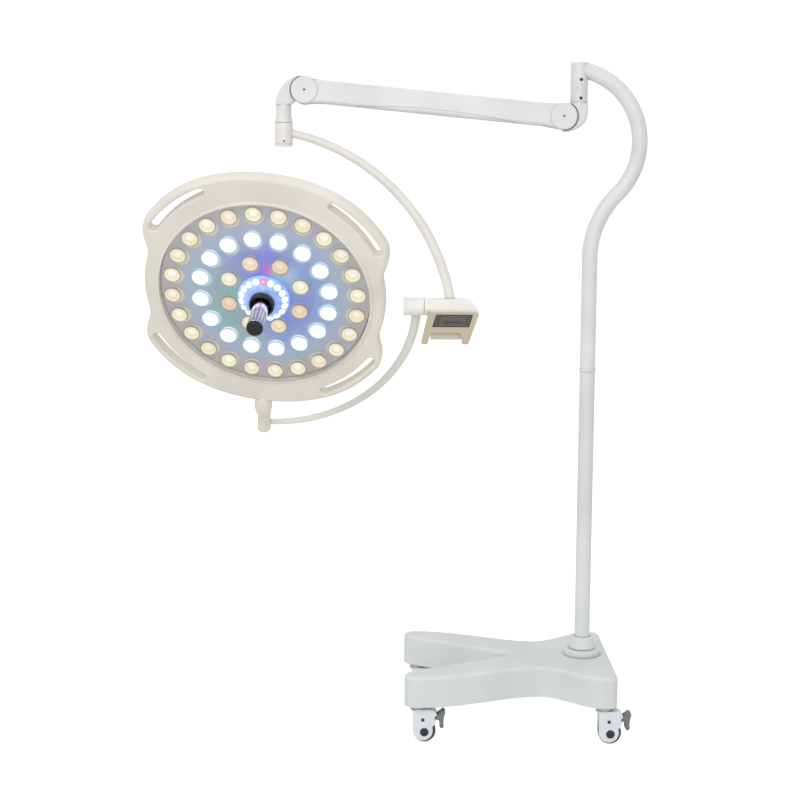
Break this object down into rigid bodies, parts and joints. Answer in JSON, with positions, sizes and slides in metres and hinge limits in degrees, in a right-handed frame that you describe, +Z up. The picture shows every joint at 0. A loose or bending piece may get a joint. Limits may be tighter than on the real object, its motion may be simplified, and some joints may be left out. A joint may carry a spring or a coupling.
{
  "type": "surgical light",
  "caption": "Mobile surgical light: wheeled base, curved mast, balanced spring arm, two-arc yoke with control box, and a round LED head with hand slots and a central handle.",
  "frame": {"origin": "on the floor, under the centre of the bounding box", "axes": "+Z up; the spring arm points along -X from the mast; the lamp head looks towards -Y and down"},
  "size_m": [1.3728, 0.49, 1.826],
  "materials": {
    "cool_white_paint": "satin powder coat",
    "base_white_plastic": "fine satin moulding",
    "warm_white_plastic": "semi-gloss moulding",
    "warm_white_paint": "semi-gloss paint",
    "cast_iron": "as cast",
    "steel": "brushed",
    "arm_aluminium": "white powder coat",
    "heat_sink_aluminium": "anodised",
    "chrome": "polished",
    "black_plastic": "fine grain",
    "hood_plastic": "satin",
    "tyre_grey": "matt",
    "pedal_grey": "matt",
    "clear_glass": "clear",
    "lens_plastic": "clear moulding",
    "screen": "gloss"
  },
  "bodies": {
    "stand": {"base_cover": "base_white_plastic", "base_weight": "cast_iron", "power_supply": "steel", "mains_inlet": "black_plastic", "collar_lower": "base_white_plastic", "collar_upper": "base_white_plastic", "column_lower": "cool_white_paint", "column_joint_ring": "cool_white_paint", "column_upper": "cool_white_paint", "mast_sleeve": "warm_white_paint", "set_screw_upper": "black_plastic", "set_screw_lower": "black_plastic"},
    "swivel_front_near": {"caster_hood_front_near": "hood_plastic"},
    "wheel_front_near": {"caster_tyre_front_near": "tyre_grey", "caster_wheel_front_near": "black_plastic"},
    "pedal_front_near": {"caster_pedal_front_near": "pedal_grey"},
    "swivel_front_far": {"caster_hood_front_far": "hood_plastic"},
    "wheel_front_far": {"caster_tyre_front_far": "tyre_grey", "caster_wheel_front_far": "black_plastic"},
    "pedal_front_far": {"caster_pedal_front_far": "pedal_grey"},
    "swivel_rear_near": {"caster_hood_rear_near": "hood_plastic"},
    "wheel_rear_near": {"caster_tyre_rear_near": "tyre_grey", "caster_wheel_rear_near": "black_plastic"},
    "pedal_rear_near": {"caster_pedal_rear_near": "pedal_grey"},
    "swivel_rear_far": {"caster_hood_rear_far": "hood_plastic"},
    "wheel_rear_far": {"caster_tyre_rear_far": "tyre_grey", "caster_wheel_rear_far": "black_plastic"},
    "pedal_rear_far": {"caster_pedal_rear_far": "pedal_grey"},
    "arm_base": {"rear_elbow": "arm_aluminium", "rear_pivot_pin": "steel"},
    "arm": {"arm_shell": "arm_aluminium", "arm_lower_cover": "base_white_plastic", "balance_spring": "steel", "spring_rod": "steel", "rear_disc_cover": "base_white_plastic", "front_disc_cover": "base_white_plastic"},
    "link": {"levelling_link": "steel"},
    "arm_tip": {"front_elbow": "arm_aluminium", "front_pivot_pin": "steel"},
    "yoke": {"yoke_sleeve": "warm_white_paint", "upper_yoke_tube": "warm_white_paint", "control_box": "warm_white_plastic", "control_board": "black_plastic", "display_frame": "warm_white_plastic", "touch_panel": "screen", "grip_loop": "warm_white_plastic", "gimbal_shaft": "steel"},
    "lower_yoke": {"gimbal_hub": "warm_white_paint", "lower_yoke_tube": "warm_white_paint", "head_knuckle": "warm_white_paint"},
    "head": {"head_foot": "warm_white_plastic", "head_rim": "warm_white_plastic", "back_cover": "warm_white_plastic", "window_pane": "clear_glass", "lens_array": "lens_plastic", "led_heat_sink": "heat_sink_aluminium", "centre_light_ring": "clear_glass", "handle_socket": "black_plastic"},
    "handle": {"handle_grip": "chrome", "handle_cap": "black_plastic"}
  },
  "joints": [
    {"name": "swivel_front_near", "type": "hinge", "parent": "stand", "child": "swivel_front_near", "pos_m": [0.07447, -0.18852, 0.1], "axis": [0, 0, 1], "continuous": true},
    {"name": "wheel_front_near", "type": "hinge", "parent": "swivel_front_near", "child": "wheel_front_near", "pos_m": [0.09047, -0.18852, 0.031], "axis": [0, 1, 0], "continuous": true},
    {"name": "pedal_front_near", "type": "hinge", "parent": "swivel_front_near", "child": "pedal_front_near", "pos_m": [0.12447, -0.18852, 0.07], "axis": [0, 1, 0], "range_deg": [0, 10]},
    {"name": "swivel_front_far", "type": "hinge", "parent": "stand", "child": "swivel_front_far", "pos_m": [0.07447, 0.18748, 0.1], "axis": [0, 0, 1], "continuous": true},
    {"name": "wheel_front_far", "type": "hinge", "parent": "swivel_front_far", "child": "wheel_front_far", "pos_m": [0.09047, 0.18748, 0.031], "axis": [0, 1, 0], "continuous": true},
    {"name": "pedal_front_far", "type": "hinge", "parent": "swivel_front_far", "child": "pedal_front_far", "pos_m": [0.12447, 0.18748, 0.07], "axis": [0, 1, 0], "range_deg": [0, 10]},
    {"name": "swivel_rear_near", "type": "hinge", "parent": "stand", "child": "swivel_rear_near", "pos_m": [0.57647, -0.19852, 0.1], "axis": [0, 0, 1], "continuous": true},
    {"name": "wheel_rear_near", "type": "hinge", "parent": "swivel_rear_near", "child": "wheel_rear_near", "pos_m": [0.59247, -0.19852, 0.031], "axis": [0, 1, 0], "continuous": true},
    {"name": "pedal_rear_near", "type": "hinge", "parent": "swivel_rear_near", "child": "pedal_rear_near", "pos_m": [0.62647, -0.19852, 0.07], "axis": [0, 1, 0], "range_deg": [0, 10]},
    {"name": "swivel_rear_far", "type": "hinge", "parent": "stand", "child": "swivel_rear_far", "pos_m": [0.57647, 0.19748, 0.1], "axis": [0, 0, 1], "continuous": true},
    {"name": "wheel_rear_far", "type": "hinge", "parent": "swivel_rear_far", "child": "wheel_rear_far", "pos_m": [0.59247, 0.19748, 0.031], "axis": [0, 1, 0], "continuous": true},
    {"name": "pedal_rear_far", "type": "hinge", "parent": "swivel_rear_far", "child": "pedal_rear_far", "pos_m": [0.62647, 0.19748, 0.07], "axis": [0, 1, 0], "range_deg": [0, 10]},
    {"name": "arm_yaw", "type": "hinge", "parent": "stand", "child": "arm_base", "pos_m": [0.49847, -0.00052, 1.721], "axis": [0, 0, 1], "range_deg": [-150, 150]},
    {"name": "arm_pitch", "type": "hinge", "parent": "arm_base", "child": "arm", "pos_m": [0.45647, -0.00052, 1.683], "axis": [0, 1, 0], "range_deg": [-38, 30]},
    {"name": "link_swing", "type": "hinge", "parent": "arm_base", "child": "link", "pos_m": [0.45647, -0.00052, 1.699], "axis": [0, 1, 0], "range_deg": [-38, 30]},
    {"name": "arm_level", "type": "hinge", "parent": "arm", "child": "arm_tip", "pos_m": [-0.24043, -0.00052, 1.74888], "axis": [0, 1, 0], "range_deg": [-30, 38]},
    {"name": "yoke_yaw", "type": "hinge", "parent": "arm_tip", "child": "yoke", "pos_m": [-0.29753, -0.00052, 1.661], "axis": [0, 0, 1], "range_deg": [-170, 170]},
    {"name": "head_pitch", "type": "hinge", "parent": "yoke", "child": "lower_yoke", "pos_m": [-0.34853, -0.00052, 1.168], "axis": [1, 0, 0], "range_deg": [-60, 100]},
    {"name": "head_turn", "type": "hinge", "parent": "lower_yoke", "child": "head", "pos_m": [-0.34853, -0.00052, 1.168], "axis": [0.0628, -0.52, 0.8519], "range_deg": [-135, 135]},
    {"name": "handle_twist", "type": "hinge", "parent": "head", "child": "handle", "pos_m": [-0.34514, -0.0286, 1.214], "axis": [-0.0991, -0.8526, -0.5131], "range_deg": [-45, 45]}
  ],
  "couplings": [
    {"joint": "link_swing", "follows": "arm_pitch", "ratio": 1},
    {"joint": "arm_level", "follows": "arm_pitch", "ratio": -1}
  ]
}
